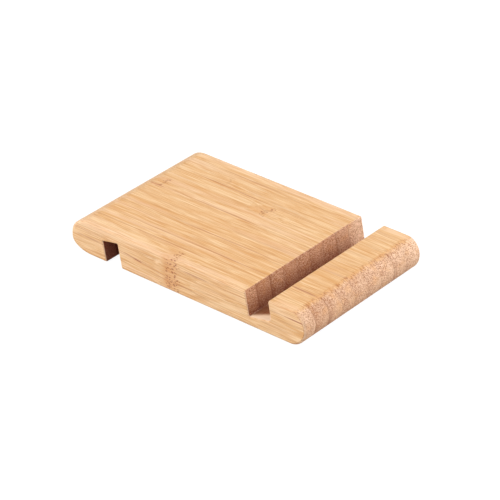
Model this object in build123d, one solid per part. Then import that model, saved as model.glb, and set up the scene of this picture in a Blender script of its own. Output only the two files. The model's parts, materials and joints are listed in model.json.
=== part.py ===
from build123d import *
import os

# Phone stand: one reversible block, glued up from upright bamboo strips.
# Millimetres. X runs across the block, Y along it with the lip at -Y, and Z is up.
# The origin is the middle of the footprint, on the plane that the block rests on.

# Overall size of the block
length = 130.0
width = 80.0
thickness = 16.2

# Strips, side by side across the width; the right edge strip takes the width that is left
left_edge_strip_width = 7.0
core_strip_width = 9.0
core_strip_count = 7

# Rounded ends, a quarter ellipse at each corner of the side view: (reach along Y, height)
front_bottom_round = (8.0, 8.5)
rear_bottom_round = (11.1, 6.1)
rear_top_round = (9.2, 8.2)
front_top_round = (7.1, 7.7)

# Rounding all round the rims of the two long sides
side_rim_radius = 1.0

# Both openings lean the same way from upright and go equally far down their deeper wall
opening_lean = 11.0
opening_depth = 11.9
opening_rim_radius = 0.6

# Wide slot in the top face, whose rear wall is the deeper one
slot_mouth_y = -33.0
slot_width = 11.9
slot_rear_corner_radius = 0.8
slot_front_corner_radius = 2.0

# Narrow notch in the underside, whose front wall is the deeper one
notch_mouth_y = 35.9
notch_width = 8.6
notch_corner_radius = 0.4

# How far a cutting shape runs past the block, and the least gap that counts as one
overrun = 5.0
gap_tolerance = 0.001


def block_outline():
    """Side view of the block: flat top and bottom faces, joined by rounded ends."""
    half_length = length / 2
    corners = (
        (-half_length, 0, front_bottom_round, 180),
        (half_length, 0, rear_bottom_round, 270),
        (half_length, thickness, rear_top_round, 0),
        (-half_length, thickness, front_top_round, 90),
    )
    with BuildSketch(Plane.YZ) as outline:
        with BuildLine():
            arcs = []
            for y, z, (reach, height), start_angle in corners:
                centre_y = y - reach if y > 0 else y + reach
                centre_z = z - height if z > 0 else z + height
                arcs.append(EllipticalCenterArc((centre_y, centre_z), reach, height, start_angle))
            for arc, next_arc in zip(arcs, arcs[1:] + arcs[:1]):
                if (next_arc @ 0 - arc @ 1).length > gap_tolerance:
                    Line(arc @ 1, next_arc @ 0)
        make_face()
    return outline.sketch


def across(side_view, span):
    """A side view drawn out along X over a span that is centred on the origin."""
    return Pos(-span / 2, 0, 0) * extrude(side_view, amount=span)


def opening_cutter(opening_width, deep_corner_radius, shallow_corner_radius):
    """Cutting shape for a top face at Z = 0, with the mouth of its deeper wall on the X axis."""
    with BuildSketch(Plane.YZ) as section:
        with BuildLine():
            walls = FilletPolyline(
                (0, overrun),
                (0, -opening_depth),
                (-opening_width, -opening_depth),
                (-opening_width, overrun),
                radius=[deep_corner_radius, shallow_corner_radius],
            )
            Line(walls @ 1, walls @ 0)
        make_face()
    return across(section.sketch, width + 2 * overrun).rotate(Axis.X, -opening_lean)


def cut_opening(block, cutter):
    """Cut one opening and sand the rim that it leaves on the block's surface."""
    opened = block - cutter
    rim = new_edges(block, cutter, combined=opened)
    return fillet(rim, opening_rim_radius)


def stand_block():
    """The whole block, before it is told apart into strips."""
    block = across(block_outline(), width)
    block = fillet(block.faces().filter_by(Axis.X).edges(), side_rim_radius)
    slot = opening_cutter(slot_width, slot_rear_corner_radius, slot_front_corner_radius)
    block = cut_opening(block, Pos(0, slot_mouth_y, thickness) * slot)
    notch = opening_cutter(notch_width, notch_corner_radius, notch_corner_radius)
    return cut_opening(block, Pos(0, notch_mouth_y, 0) * notch.rotate(Axis.X, 180))


def strip_spans():
    """Each strip's name with the X of its left and right faces, from left to right."""
    glue_line = -width / 2 + left_edge_strip_width
    spans = [("left_edge_strip", -width / 2, glue_line)]
    for number in range(1, core_strip_count + 1):
        spans.append((f"core_strip_{number}", glue_line, glue_line + core_strip_width))
        glue_line += core_strip_width
    spans.append(("right_edge_strip", glue_line, width / 2))
    return spans


def main():
    os.makedirs("parts", exist_ok=True)
    block = stand_block()
    for name, left, right in strip_spans():
        slab = Box(right - left, length + overrun, thickness + overrun)
        strip = block & Pos((left + right) / 2, 0, thickness / 2) * slab
        export_step(strip, f"parts/{name}.step")


main()
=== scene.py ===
import json
import math

import bpy
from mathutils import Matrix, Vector


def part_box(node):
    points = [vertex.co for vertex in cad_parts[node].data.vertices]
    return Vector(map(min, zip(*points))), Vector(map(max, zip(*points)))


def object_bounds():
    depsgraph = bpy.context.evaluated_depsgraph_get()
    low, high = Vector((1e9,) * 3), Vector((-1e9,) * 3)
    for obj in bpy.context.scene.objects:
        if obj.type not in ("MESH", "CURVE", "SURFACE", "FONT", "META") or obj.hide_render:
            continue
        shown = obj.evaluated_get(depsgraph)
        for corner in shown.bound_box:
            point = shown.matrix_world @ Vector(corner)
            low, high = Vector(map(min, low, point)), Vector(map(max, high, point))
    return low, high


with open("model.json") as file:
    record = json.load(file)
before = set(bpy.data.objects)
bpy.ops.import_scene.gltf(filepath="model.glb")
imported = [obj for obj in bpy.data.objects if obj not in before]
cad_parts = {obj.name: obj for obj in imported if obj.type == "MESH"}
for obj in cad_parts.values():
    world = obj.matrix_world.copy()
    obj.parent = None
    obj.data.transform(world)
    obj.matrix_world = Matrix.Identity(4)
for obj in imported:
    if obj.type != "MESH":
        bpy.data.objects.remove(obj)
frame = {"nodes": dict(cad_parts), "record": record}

CAD_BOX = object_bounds()

MM_PER_M = 1000
HALF_WIDTH = CAD_BOX[1].x * MM_PER_M
TOP = CAD_BOX[1].z * MM_PER_M

# The photographer's view: where the camera stands about the footprint's middle, in degrees and metres
CAMERA_AZIMUTH = -50.6
CAMERA_ELEVATION = 31.1
CAMERA_DISTANCE = 1.123
CAMERA_SLIDE = (0.0023, 0.0041)
CAMERA_CLIP = 0.01
CAMERA_LENS_MM = 186.0
SENSOR_MM = 36.0

# The soft boxes: name, azimuth and elevation in degrees, and power in watts
LIGHTS = [
    ("left_rear_light", -125, 35, 26),
    ("left_light", -90, 30, 5),
    ("front_light", 10, 30, 7.5),
    ("right_light", 50, 30, 24.5),
]
# How far off they stand and how wide they are, in metres
LIGHT_DISTANCE = 1.5
LIGHT_SIZE = 1.2
WORLD_STRENGTH = 0.12

# Half the floor's width, and its gap below the stand, in metres
FLOOR_HALF = 3.0
FLOOR_GAP = 0.0001
# How bright the floor's own white is, and its share of what the camera sees
FLOOR_GLOW = 1.3
FLOOR_GLOW_SHARE = 0.72

# How far past an opening's box its walls and floor may lie, in millimetres
OPENING_REACH = {"Y": 3.2, "Z": 4.0}

# Heights above the table, in millimetres, between which a shade fades
SKIN_AND_LOW_SHADE_HEIGHTS = (2.0, TOP - 3.2)
WALL_HEIGHTS = (TOP - 12.2, TOP - 1.2)
WALL_BASE_SHADE_HEIGHTS = (TOP - 10.7, TOP - 7.2)
SLOT_FLOOR_HEIGHTS = (TOP - 7.2, TOP - 5.2)
SHEEN_HEIGHTS = (TOP - 5.2, TOP - 0.7)

# Distances from the middle, in millimetres, between which the painted sheen sets in towards both sides
SHEEN_SIDES = (HALF_WIDTH - 5.0, HALF_WIDTH - 0.5)
SHEEN_TOP_SIDES = (HALF_WIDTH - 6.0, HALF_WIDTH - 1.0)

# How often each pattern varies per millimetre along X, Y and Z. Most are long along the fibres.
JOINT_EDGE_SCALE = (0.5, 0.1, 0.35)
BEND_SCALE = (0.16, 0.035, 0.16)
BROAD_SCALE = (0.26, 0.011, 0.22)
STREAK_SCALE = (1.15, 0.03, 0.95)
FINE_SCALE = (3.2, 0.06, 2.8)
MOTTLE_SCALE = (0.9, 0.25, 0.9)
BUNDLE_SCALE = (1.9, 0.03, 1.7)
PORE_SCALE = (0.95, 0.6, 1.15)
PALE_SCALE = (0.35, 0.015, 0.3)
WARM_SCALE = (0.22, 0.05, 0.3)
SHEEN_SCALE = (0.5, 0.09, 0.5)

# How far each strip's patterns lie from the next one's, so that no two strips look alike
SEED_STEPS = (17.3, 41.9, 29.7)

# Strips from left to right. tone is how much lighter a strip's long faces are than the rest, end the same
# for its cut ends, skin how dark its cut ends turn towards the cane's outside, which is on the strip's left,
# and cut how strongly its part of the slot's wall takes the painted shade there, 1 unless it is given. Each
# knot, a joint of the cane, has its place along Y and its boldness. Each scar, where a bud grew, has its
# centre in X and Y, its half width, its half length and its boldness. Each fibre, a single bold one, has the
# axis that it is placed on, its ends along Y, its place at each end and its boldness. All places are in
# millimetres.
STRIPS = {
    "left_edge_strip": {
        "tone": 0.04,
        "end": -0.01,
        "skin": 0.1,
        "knots": [(7.0, 1.0)],
        "fibres": [
            ("Z", 64, 47, 8.9, 8.6, 0.4),
            ("Z", 35, 26, 9.4, 8.0, 0.4),
            ("Z", 29.5, 23.5, 8.4, 7.7, 0.9),
            ("Z", 2, -14, 12.8, 12.6, 0.55),
            ("Z", -53, -62, 12.3, 12.35, 0.4),
            ("Z", -55, -67, 12.3, 12.3, 0.85),
            ("Z", 20, -6, 4.6, 4.9, 0.4),
        ],
    },
    "core_strip_1": {
        "tone": -0.04,
        "end": -0.1,
        "skin": 0.45,
        "fibres": [
            ("X", 52, -36, -24.5, -24.4, 0.35),
            ("X", -43, -60, -24.3, -24.4, 0.7),
            ("X", -45, -61, -24.8, -25.0, 0.45),
            ("X", 64, -10, -30.4, -30.2, 0.3),
        ],
    },
    "core_strip_2": {"tone": -0.12, "end": -0.05, "skin": 0.6},
    "core_strip_3": {
        "tone": -0.05,
        "end": -0.07,
        "skin": 0.12,
        "fibres": [("X", 30, -30, -13.4, -13.0, 0.4)],
    },
    "core_strip_4": {"tone": -0.04, "end": -0.04, "skin": 0.06},
    "core_strip_5": {
        "tone": 0.0,
        "end": 0.02,
        "skin": 0.2,
        "knots": [(52.5, 0.6)],
        "fibres": [("X", 59, 49, 4.3, 4.5, 0.6), ("X", 34, -8, 5.2, 4.6, 0.5)],
    },
    "core_strip_6": {
        "tone": 0.06,
        "end": 0.04,
        "skin": 0.1,
        "knots": [(1.0, 0.7)],
        "scars": [(14.9, 6.3, 2.2, 3.8, 0.5)],
    },
    "core_strip_7": {
        "tone": 0.02,
        "end": 0.03,
        "skin": 0.5,
        "cut": 0.65,
        "knots": [(31.0, 0.35)],
        "fibres": [("X", 48, 4, 22.9, 21.9, 0.5)],
    },
    "right_edge_strip": {
        "tone": 0.05,
        "end": 0.12,
        "skin": 0.25,
        "cut": 0.2,
        "fibres": [("X", 44, 4, 33.4, 33.1, 0.4)],
    },
}


def linear(red, green, blue):
    """An sRGB colour of 0 to 255, as the linear colour that shaders take."""
    def one(value):
        value /= 255
        return value / 12.92 if value <= 0.04045 else ((value + 0.055) / 1.055) ** 2.4
    return (one(red), one(green), one(blue), 1.0)


LONG_DARK = linear(204, 150, 93)
LONG_LIGHT = linear(230, 196, 154)
LONG_PALE = linear(226, 188, 158)
END_DARK = linear(173, 118, 77)
END_LIGHT = linear(236, 201, 170)
END_WARM = linear(222, 166, 108)
CANE_SKIN = linear(142, 90, 60)
SKIMMED = linear(201, 145, 89)
# Painted sheen and highlights on the ends' rims, the rear round and along the sides
PAINTED_SHEEN_COLOUR = linear(238, 202, 168)
BUNDLE = linear(152, 88, 42)
BOLD_FIBRE = linear(156, 84, 58)
JOINT_STAIN = linear(199, 138, 84)
JOINT_LINE = linear(160, 100, 56)
BUD_SCAR = linear(208, 149, 90)
PORE = linear(146, 75, 44)
GLUE = linear(130, 78, 50)
# Painted light on the slot floor's open end
SLOT_FLOOR_LIGHT = linear(250, 220, 192)

# These darken what is under them, as painted shade
LONG_EDGE_SHADE = linear(247, 241, 236)
WALL_SHADE = linear(228, 211, 200)
DEEP_WALL_SHADE = linear(230, 212, 212)
SLOT_FLOOR_SHADE = linear(176, 138, 124)
NOTCH_SHADE = linear(196, 150, 145)


class Graph:
    """A material's node tree, written as short expressions."""

    def __init__(self, name):
        self.material = bpy.data.materials.new(name)
        self.material.use_nodes = True
        self.tree = self.material.node_tree
        self.tree.nodes.clear()

    def node(self, kind, inputs=None, **settings):
        made = self.tree.nodes.new(kind)
        for key, value in settings.items():
            setattr(made, key, value)
        for key, value in (inputs or {}).items():
            self.feed(made.inputs[key], value)
        return made

    def feed(self, socket, value):
        if isinstance(value, bpy.types.NodeSocket):
            self.tree.links.new(value, socket)
        else:
            socket.default_value = value

    def math(self, operation, first, second=0.0, third=0.0):
        made = self.node("ShaderNodeMath", {0: first, 1: second, 2: third}, operation=operation)
        return made.outputs[0]

    def plus(self, first, second):
        return self.math("ADD", first, second)

    def minus(self, first, second):
        return self.math("SUBTRACT", first, second)

    def times(self, first, second):
        return self.math("MULTIPLY", first, second)

    def times_plus(self, value, factor, offset):
        return self.math("MULTIPLY_ADD", value, factor, offset)

    def most(self, first, second):
        return self.math("MAXIMUM", first, second)

    def least(self, first, second):
        return self.math("MINIMUM", first, second)

    def absolute(self, value):
        return self.math("ABSOLUTE", value)

    def inverse(self, mask):
        """Where a mask of 0 to 1 doesn't reach."""
        return self.minus(1.0, mask)

    def ramp(self, value, low, high, out_low=0.0, out_high=1.0):
        """Smooth step from out_low to out_high while value goes from low to high."""
        made = self.node(
            "ShaderNodeMapRange",
            {"Value": value, "From Min": low, "From Max": high, "To Min": out_low, "To Max": out_high},
            interpolation_type="SMOOTHSTEP",
        )
        return made.outputs["Result"]

    def fade(self, value, low, high, strength=1.0):
        """Smooth step from strength down to 0 while value goes from low to high."""
        return self.ramp(value, low, high, strength, 0.0)

    def vector(self, x, y, z):
        return self.node("ShaderNodeCombineXYZ", {0: x, 1: y, 2: z}).outputs[0]

    def split(self, vector):
        return self.node("ShaderNodeSeparateXYZ", {0: vector}).outputs

    def scaled(self, vector, factors):
        made = self.node("ShaderNodeVectorMath", {0: vector, 1: factors}, operation="MULTIPLY")
        return made.outputs[0]

    def moved(self, vector, offset):
        made = self.node("ShaderNodeVectorMath", {0: vector, 1: offset}, operation="ADD")
        return made.outputs[0]

    def noise(self, vector, detail=2.0, roughness=0.5, output="Fac"):
        made = self.node(
            "ShaderNodeTexNoise",
            {"Vector": vector, "Scale": 1.0, "Detail": detail, "Roughness": roughness},
        )
        return made.outputs[output]

    def cells(self, vector):
        """Distance to the nearest of points that are scattered through space."""
        made = self.node("ShaderNodeTexVoronoi", {"Vector": vector, "Scale": 1.0, "Randomness": 1.0})
        return made.outputs["Distance"]

    def mix(self, factor, first, second, blend="MIX"):
        made = self.node("ShaderNodeMix", data_type="RGBA", blend_type=blend)
        self.feed(made.inputs[0], factor)
        self.feed(made.inputs[6], first)
        self.feed(made.inputs[7], second)
        return made.outputs[2]

    def tint(self, factor, colour, shade):
        return self.mix(factor, colour, shade, "MULTIPLY")


class Bamboo(Graph):
    """Bamboo as a solid pattern: fibres run along Y, so long faces show streaks and cut ends show dots."""

    def __init__(self, name, number, left, right, look):
        super().__init__(name)
        self.left = left
        self.right = right
        self.look = look
        self.seed = tuple(step * number for step in SEED_STEPS)
        place = self.node("ShaderNodeTexCoord").outputs["Object"]
        self.mm = self.scaled(place, (MM_PER_M, MM_PER_M, MM_PER_M))
        self.x, self.y, self.z = self.split(self.mm)
        self.spots = {"X": self.x, "Y": self.y, "Z": self.z}
        facing = self.split(self.node("ShaderNodeNewGeometry").outputs["Normal"])
        # side is 1 on the block's sides, flat is 1 on its top and underside, rearward goes from -1 to 1
        self.side = self.absolute(facing[0])
        self.rearward = facing[1]
        self.flat = self.absolute(facing[2])
        self.wander = self.noise(self.seeded(JOINT_EDGE_SCALE), detail=1.0)
        self.mark_joints()
        self.mark_scars()
        self.grow_fibres()
        self.find_cut_ends()
        self.find_openings()
        self.scatter_pores()
        self.mark_painted_sheen()
        self.finish(self.coloured())

    def seeded(self, scale):
        """Place in millimetres, stretched, and different for each strip."""
        return self.moved(self.scaled(self.mm, scale), self.seed)

    def at_joints(self, measure):
        """The most that measure gives for any joint of the cane, from the distance past it along Y."""
        total = 0.0
        for centre, strength in self.look.get("knots", ()):
            past = self.plus(self.y, self.times_plus(self.wander, 5.0, -2.5 - centre))
            total = self.most(total, measure(past, strength))
        return total

    def mark_joints(self):
        """Joints of the cane: soft bands across the strip whose edges wander, in millimetres along Y."""
        # A joint is a broad band on the cane's outside, and a thin line where the strip is cut upright
        narrow = self.times_plus(self.flat, 1.1, 1.0)

        def band(past, strength):
            return self.fade(self.times(self.absolute(past), narrow), 2.0, 5.5, strength)

        def neighbourhood(past, strength):
            return self.fade(self.absolute(past), 2.0, 16.0, strength)

        def stain(past, strength):
            return self.times(self.ramp(past, -7.0, 3.0, 0.0, strength), self.fade(past, 3.5, 7.0))

        def divide(past, strength):
            return self.fade(self.absolute(past), 0.1, 0.9, strength)

        self.joint = self.at_joints(band)
        self.near_joint = self.at_joints(neighbourhood)
        self.joint_stain = self.at_joints(stain)
        self.joint_line = self.times(self.at_joints(divide), self.flat)

    def mark_scars(self):
        """Ovals where a bud grew out of a joint: how far a place is inside one, and how near its outline."""
        self.scar = 0.0
        self.scar_line = 0.0
        for centre_x, centre_y, half_width, half_length, strength in self.look.get("scars", ()):
            aside = self.math("DIVIDE", self.minus(self.x, centre_x), half_width)
            along = self.math("DIVIDE", self.minus(self.y, centre_y), half_length)
            squares = self.plus(self.math("POWER", aside, 2.0), self.math("POWER", along, 2.0))
            reach = self.plus(self.math("SQRT", squares), -0.4)
            reach = self.times_plus(self.wander, 0.8, reach)
            self.scar = self.most(self.scar, self.fade(reach, 0.8, 1.1, strength))
            off = self.absolute(self.minus(reach, 1.0))
            self.scar_line = self.most(self.scar_line, self.fade(off, 0.0, 0.16, strength))

    def grow_fibres(self):
        """The grain at three scales, and vascular bundles."""
        # Fibre directions wander a little, and more at a joint
        bend = self.noise(self.seeded(BEND_SCALE), detail=1.0, output="Color")
        amount = self.times_plus(self.near_joint, 4.2, 1.4)
        bend = self.scaled(self.moved(bend, (-0.5, -0.5, -0.5)), self.vector(amount, 0.0, amount))
        self.fibre = self.moved(self.moved(self.mm, bend), self.seed)

        self.broad = self.noise(self.scaled(self.fibre, BROAD_SCALE), detail=1.0)
        self.streak = self.noise(self.scaled(self.fibre, STREAK_SCALE), detail=3.0, roughness=0.65)
        self.fine = self.noise(self.scaled(self.fibre, FINE_SCALE), roughness=0.6)
        self.mottle = self.noise(self.seeded(MOTTLE_SCALE), detail=3.0)

        # Bundles are crowded and large towards the cane's skin, on the strip's left face
        depth = self.ramp(self.x, self.left, self.right)
        bundle = self.cells(self.scaled(self.fibre, BUNDLE_SCALE))
        bundle = self.minus(self.times_plus(depth, -0.1, 0.44), bundle)
        self.bundle = self.ramp(bundle, -0.02, 0.12)

    def bold_fibres(self):
        """Dark single fibres, each a thin sheet along Y that tapers at both ends."""
        total = 0.0
        for axis, start, end, start_place, end_place, strength in self.look.get("fibres", ()):
            slope = (end_place - start_place) / (end - start)
            line = self.times_plus(self.y, slope, start_place - slope * start)
            away = self.absolute(self.minus(self.spots[axis], line))
            middle = (start + end) / 2
            half = abs(end - start) / 2
            along = self.absolute(self.minus(self.y, middle))
            width = self.ramp(along, half * 0.4, half, 0.42, 0.05)
            total = self.most(total, self.fade(self.math("DIVIDE", away, width), 0.3, 1.0, strength))
        return total

    def find_cut_ends(self):
        """How squarely the surface cuts the fibres: not at all, at a skimming slant, or across them."""
        # On the rear end the long grain reaches further down than on the front end
        across = self.most(self.times(self.rearward, -1.0), self.ramp(self.rearward, 0.62, 0.95))
        ragged = self.plus(across, self.times_plus(self.mottle, 0.5, -0.25))
        ragged = self.times_plus(self.minus(self.fine, 0.5), 0.25, ragged)
        self.end_grain = self.ramp(ragged, 0.2, 0.56)
        skimmed = self.minus(self.ramp(ragged, 0.0, 0.2), self.end_grain)
        self.skimmed = self.times(skimmed, self.fade(self.rearward, -0.04, 0.02))

    def in_opening(self, opening):
        """1 within a few millimetres of one of the record's openings."""
        low, high = opening["box_m"]
        inside = 1.0
        for axis, index in (("Y", 1), ("Z", 2)):
            middle = (low[index] + high[index]) / 2 * MM_PER_M
            half = (high[index] - low[index]) / 2 * MM_PER_M + OPENING_REACH[axis]
            inside = self.times(inside, self.math("COMPARE", self.spots[axis], middle, half))
        return inside

    def find_openings(self):
        """Walls and floors of the slot and the notch."""
        slot, notch = (self.in_opening(opening) for opening in frame["record"]["physics"]["openings"])
        inward = self.fade(self.side, 0.2, 0.6)
        slot = self.times(slot, inward)
        self.notch = self.times(notch, inward)
        self.opened = self.most(slot, self.notch)
        self.skimmed = self.times(self.skimmed, self.inverse(self.opened))
        self.slot_wall = self.times(slot, self.times(self.end_grain, self.look.get("cut", 1.0)))
        slot_floor = self.times(slot, self.fade(self.z, *SLOT_FLOOR_HEIGHTS))
        self.slot_floor = self.times(slot_floor, self.inverse(self.end_grain))

    def scatter_pores(self):
        """Brown pores: at joints, where the front end's round skims the fibres, and low on the slot's wall,
        where they crowd as painted shade at the wall's base.
        """
        pore = self.cells(self.seeded(PORE_SCALE))
        where = self.most(self.ramp(self.joint, 0.25, 0.75), self.times(self.skimmed, 0.6))
        where = self.most(where, self.times(self.slot_wall, self.fade(self.z, *WALL_BASE_SHADE_HEIGHTS)))
        pore = self.plus(pore, self.times_plus(self.mottle, 0.5, -0.25))
        self.pore = self.times(self.fade(pore, 0.22, 0.42), where)

    def mark_painted_sheen(self):
        """Painted highlights and sheen, paler: on the ends' rims, the rear round and patches along the
        sides.
        """
        # Painted highlights on the ends' rims and on the rear round
        rim_highlight = self.times(self.ramp(self.side, 0.1, 0.5), self.fade(self.side, 0.8, 0.98))
        rim_highlight = self.times(rim_highlight, self.ramp(self.absolute(self.rearward), 0.1, 0.4, 0.0, 0.6))
        self.rim_highlight = self.most(rim_highlight, self.ramp(self.rearward, 0.05, 0.6, 0.0, 0.5))

        from_middle = self.absolute(self.x)
        patch = self.ramp(self.noise(self.scaled(self.mm, SHEEN_SCALE), detail=3.0), 0.42, 0.62, 0.0, 0.45)
        patch = self.times(patch, self.ramp(self.z, *SHEEN_HEIGHTS))
        patch = self.times(patch, self.ramp(from_middle, *SHEEN_SIDES))
        patch = self.times(patch, self.times_plus(self.flat, 0.6, 0.5))
        patch = self.times_plus(self.flat, self.ramp(from_middle, *SHEEN_TOP_SIDES, 0.0, 0.2), patch)
        self.bevel = self.ramp(self.least(self.side, self.flat), 0.15, 0.5)
        patch = self.times(patch, self.inverse(self.bevel))
        self.painted_sheen = self.times(self.most(self.rim_highlight, patch), self.inverse(self.opened))

    def long_colour(self, coarse, fine):
        """Faces along the fibres."""
        grain = self.plus(coarse, fine)
        light = self.ramp(self.plus(grain, 0.5 + self.look["tone"]), 0.0, 1.0)
        colour = self.mix(light, LONG_DARK, LONG_LIGHT)
        pale = self.ramp(self.noise(self.scaled(self.fibre, PALE_SCALE), detail=1.0), 0.5, 0.75, 0.0, 0.35)
        return self.mix(pale, colour, LONG_PALE)

    def end_colour(self, coarse, fine):
        """Cut ends, which show less of the broad streaks, and more of the fine ones on the slot's wall."""
        grain = self.times_plus(fine, self.times_plus(self.slot_wall, 0.9, 0.75), self.times(coarse, 0.4))
        light = self.ramp(self.plus(grain, 0.5 + self.look["end"]), 0.0, 1.0)
        colour = self.mix(light, END_DARK, END_LIGHT)
        warm = self.ramp(self.noise(self.seeded(WARM_SCALE), detail=1.0), 0.5, 0.75, 0.0, 0.35)
        colour = self.mix(warm, colour, END_WARM)

        skin = self.look["skin"]
        from_skin = self.minus(self.x, self.left)
        edge = self.fade(from_skin, 0.0, 1.3, 0.5 * skin)
        shade = self.fade(from_skin, 0.0, 4.0, 0.6 * skin)
        # Darker low down, as painted shade on the lower cut ends, and nowhere faint in the slot
        low_shade = self.most(self.slot_wall, self.ramp(self.z, *SKIN_AND_LOW_SHADE_HEIGHTS, 1.4, 0.55))
        return self.mix(self.times(self.plus(edge, shade), low_shade), colour, CANE_SKIN)

    def with_fibres(self, colour):
        """Vascular bundles and bold fibres; the dots are fainter on the left strip's cut end and on the
        painted rim highlights.
        """
        dark = self.times_plus(self.end_grain, 0.7, 0.2)
        dark = self.times(self.bundle, self.times_plus(self.skimmed, 0.35, dark))
        dark = self.times(dark, self.inverse(self.rim_highlight))
        faint = self.times(self.end_grain, self.fade(self.x, -HALF_WIDTH, 6.0 - HALF_WIDTH, 0.45))
        dark = self.times(dark, self.inverse(faint))
        colour = self.mix(dark, colour, BUNDLE)
        bold = self.times(self.bold_fibres(), self.inverse(self.end_grain))
        return self.mix(bold, colour, BOLD_FIBRE)

    def with_joints(self, colour):
        """Stains and lines at the cane's joints, bud scars and pores."""
        stain = self.times(self.joint_stain, self.times_plus(self.flat, -0.2, 0.5))
        colour = self.mix(stain, colour, JOINT_STAIN)
        colour = self.mix(self.times(self.scar, 0.55), colour, BUD_SCAR)
        line = self.most(self.scar_line, self.joint_line)
        line = self.times(line, self.ramp(self.mottle, 0.4, 0.62, 0.0, 0.8))
        colour = self.mix(line, colour, JOINT_LINE)
        return self.mix(self.times(self.pore, 0.78), colour, PORE)

    def with_glue(self, colour):
        """Glue lines along the strip's glued faces."""
        inset = self.least(self.minus(self.x, self.left), self.minus(self.right, self.x))
        glue = self.times_plus(self.slot_wall, 0.2, self.times_plus(self.end_grain, 0.12, 0.08))
        glue = self.times(self.fade(inset, 0.03, 0.3), glue)
        return self.mix(glue, colour, GLUE)

    def with_painted_opening_shade_and_light(self, colour):
        """Painted shade and light in the openings: the slot's walls darker, darker further down, the slot
        floor darker inside and paler at its open end, and the notch dark.
        """
        # Painted shade on the slot's walls, darker further down
        colour = self.tint(self.slot_wall, colour, WALL_SHADE)
        deep_shade = self.times(self.slot_wall, self.fade(self.z, *WALL_HEIGHTS))
        colour = self.tint(deep_shade, colour, DEEP_WALL_SHADE)
        # Only the slot floor's open left end is pale, a painted light, up to a line that slants in from the
        # side at side_y; past it the floor gets painted shade
        slant = 0.4
        side_y = -36.0
        pale_from = slant * side_y - HALF_WIDTH
        past_line = self.ramp(self.times_plus(self.y, slant, self.x), pale_from, pale_from + 4.0)
        shaded_floor = self.times(self.slot_floor, past_line)
        lit_floor = self.minus(self.slot_floor, shaded_floor)
        colour = self.tint(shaded_floor, colour, SLOT_FLOOR_SHADE)
        colour = self.mix(self.times(lit_floor, 0.75), colour, SLOT_FLOOR_LIGHT)
        # Painted shade in the notch
        return self.tint(self.notch, colour, NOTCH_SHADE)

    def coloured(self):
        """The whole strip's colour, from the wood up to its painted sheen, highlights and shade."""
        broad = self.times_plus(self.broad, 0.7, -0.35)
        coarse = self.plus(broad, self.times_plus(self.streak, 1.1, -0.55))
        fine = self.times_plus(self.fine, 2.3, -1.15)
        long_colour = self.long_colour(coarse, fine)
        colour = self.mix(self.end_grain, long_colour, self.end_colour(coarse, fine))
        colour = self.mix(self.times(self.skimmed, 0.45), colour, SKIMMED)
        # Painted sheen and highlights, paler
        colour = self.mix(self.painted_sheen, colour, PAINTED_SHEEN_COLOUR)
        # Painted shade on the long edges, which dims their highlight
        colour = self.tint(self.bevel, colour, LONG_EDGE_SHADE)
        colour = self.with_fibres(colour)
        colour = self.with_joints(colour)
        colour = self.with_glue(colour)
        return self.with_painted_opening_shade_and_light(colour)

    def finish(self, colour):
        """A satin surface, where fine fibres stand up, and bundles and pores lie lower."""
        height = self.times_plus(self.fine, 0.6, self.times(self.bundle, -0.5))
        height = self.minus(height, self.times(self.pore, 0.6))
        bump = self.node("ShaderNodeBump", {"Strength": 0.22, "Distance": 0.00008, "Height": height})
        roughness = self.times_plus(self.streak, 0.16, self.times_plus(self.end_grain, 0.16, 0.46))
        shader = self.node(
            "ShaderNodeBsdfPrincipled",
            {"Base Color": colour, "Roughness": roughness, "Normal": bump.outputs[0], "IOR": 1.45},
        )
        self.node("ShaderNodeOutputMaterial", {"Surface": shader.outputs[0]})


def dress_strips():
    for number, name in enumerate(STRIPS):
        low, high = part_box(name)
        # The outer strips' open faces have no glue, so their edge is taken to lie 1 mm further out
        left = low.x * MM_PER_M if number else low.x * MM_PER_M - 1
        right = high.x * MM_PER_M if number < len(STRIPS) - 1 else high.x * MM_PER_M + 1
        bamboo = Bamboo(f"bamboo_{name}", number + 1, left, right, STRIPS[name])
        mesh = frame["nodes"][name].data
        mesh.materials.clear()
        mesh.materials.append(bamboo.material)


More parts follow.
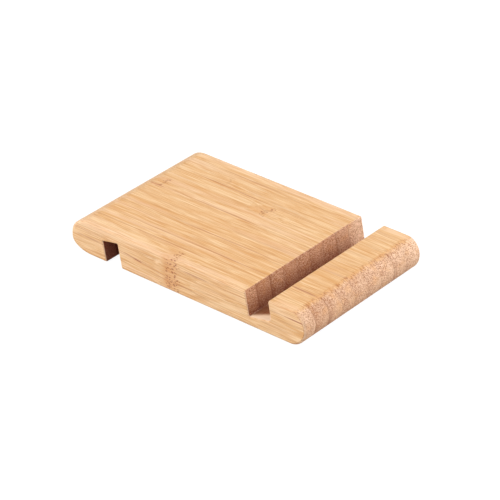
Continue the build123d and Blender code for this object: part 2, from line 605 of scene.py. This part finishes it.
def add_floor():
    low = CAD_BOX[0].z - FLOOR_GAP
    half = FLOOR_HALF
    mesh = bpy.data.meshes.new("floor")
    corners = [(-half, -half, low), (half, -half, low), (half, half, low), (-half, half, low)]
    mesh.from_pydata(corners, [], [(0, 1, 2, 3)])
    floor = bpy.data.objects.new("floor", mesh)
    bpy.context.scene.collection.objects.link(floor)
    # Grey for the light that it throws back, and nearly white to look at, so that shadows stay faint
    g = Graph("floor")
    grey = g.node("ShaderNodeBsdfPrincipled", {"Base Color": (0.5, 0.5, 0.5, 1), "Roughness": 0.9})
    white = g.node("ShaderNodeEmission", {"Color": (1, 1, 1, 1), "Strength": FLOOR_GLOW})
    seen = g.times(g.node("ShaderNodeLightPath").outputs["Is Camera Ray"], FLOOR_GLOW_SHARE)
    shader = g.node("ShaderNodeMixShader", {0: seen, 1: grey.outputs[0], 2: white.outputs[0]})
    g.node("ShaderNodeOutputMaterial", {"Surface": shader.outputs[0]})
    mesh.materials.append(g.material)


def direction(azimuth, elevation):
    """Unit vector from the stand towards a viewer or a light; azimuth 0 is in front, at -Y."""
    a, e = math.radians(azimuth), math.radians(elevation)
    return Vector((math.sin(a) * math.cos(e), -math.cos(a) * math.cos(e), math.sin(e)))


def add_light(name, azimuth, elevation, watts):
    """A square soft box that faces the stand."""
    data = bpy.data.lights.new(name, "AREA")
    data.size = LIGHT_SIZE
    data.energy = watts
    light = bpy.data.objects.new(name, data)
    bpy.context.scene.collection.objects.link(light)
    away = direction(azimuth, elevation)
    light.location = away * LIGHT_DISTANCE
    light.rotation_euler = (-away).to_track_quat("-Z", "Y").to_euler()


def add_world():
    world = bpy.data.worlds.new("studio")
    bpy.context.scene.world = world
    world.use_nodes = True
    background = world.node_tree.nodes["Background"]
    background.inputs["Color"].default_value = (1.0, 1.0, 1.0, 1.0)
    background.inputs["Strength"].default_value = WORLD_STRENGTH


def add_camera():
    back = direction(CAMERA_AZIMUTH, CAMERA_ELEVATION)
    a = math.radians(CAMERA_AZIMUTH)
    right = Vector((math.cos(a), math.sin(a), 0))
    up = back.cross(right)
    data = bpy.data.cameras.new("camera")
    data.lens = CAMERA_LENS_MM
    data.sensor_width = SENSOR_MM
    data.clip_start = CAMERA_CLIP
    camera = bpy.data.objects.new("camera", data)
    bpy.context.scene.collection.objects.link(camera)
    camera.location = back * CAMERA_DISTANCE + right * CAMERA_SLIDE[0] + up * CAMERA_SLIDE[1]
    camera.rotation_euler = (-back).to_track_quat("-Z", "Y").to_euler()
    bpy.context.scene.camera = camera


dress_strips()
add_floor()
add_world()
for light in LIGHTS:
    add_light(*light)
add_camera()
bpy.context.scene.view_settings.view_transform = "Standard"
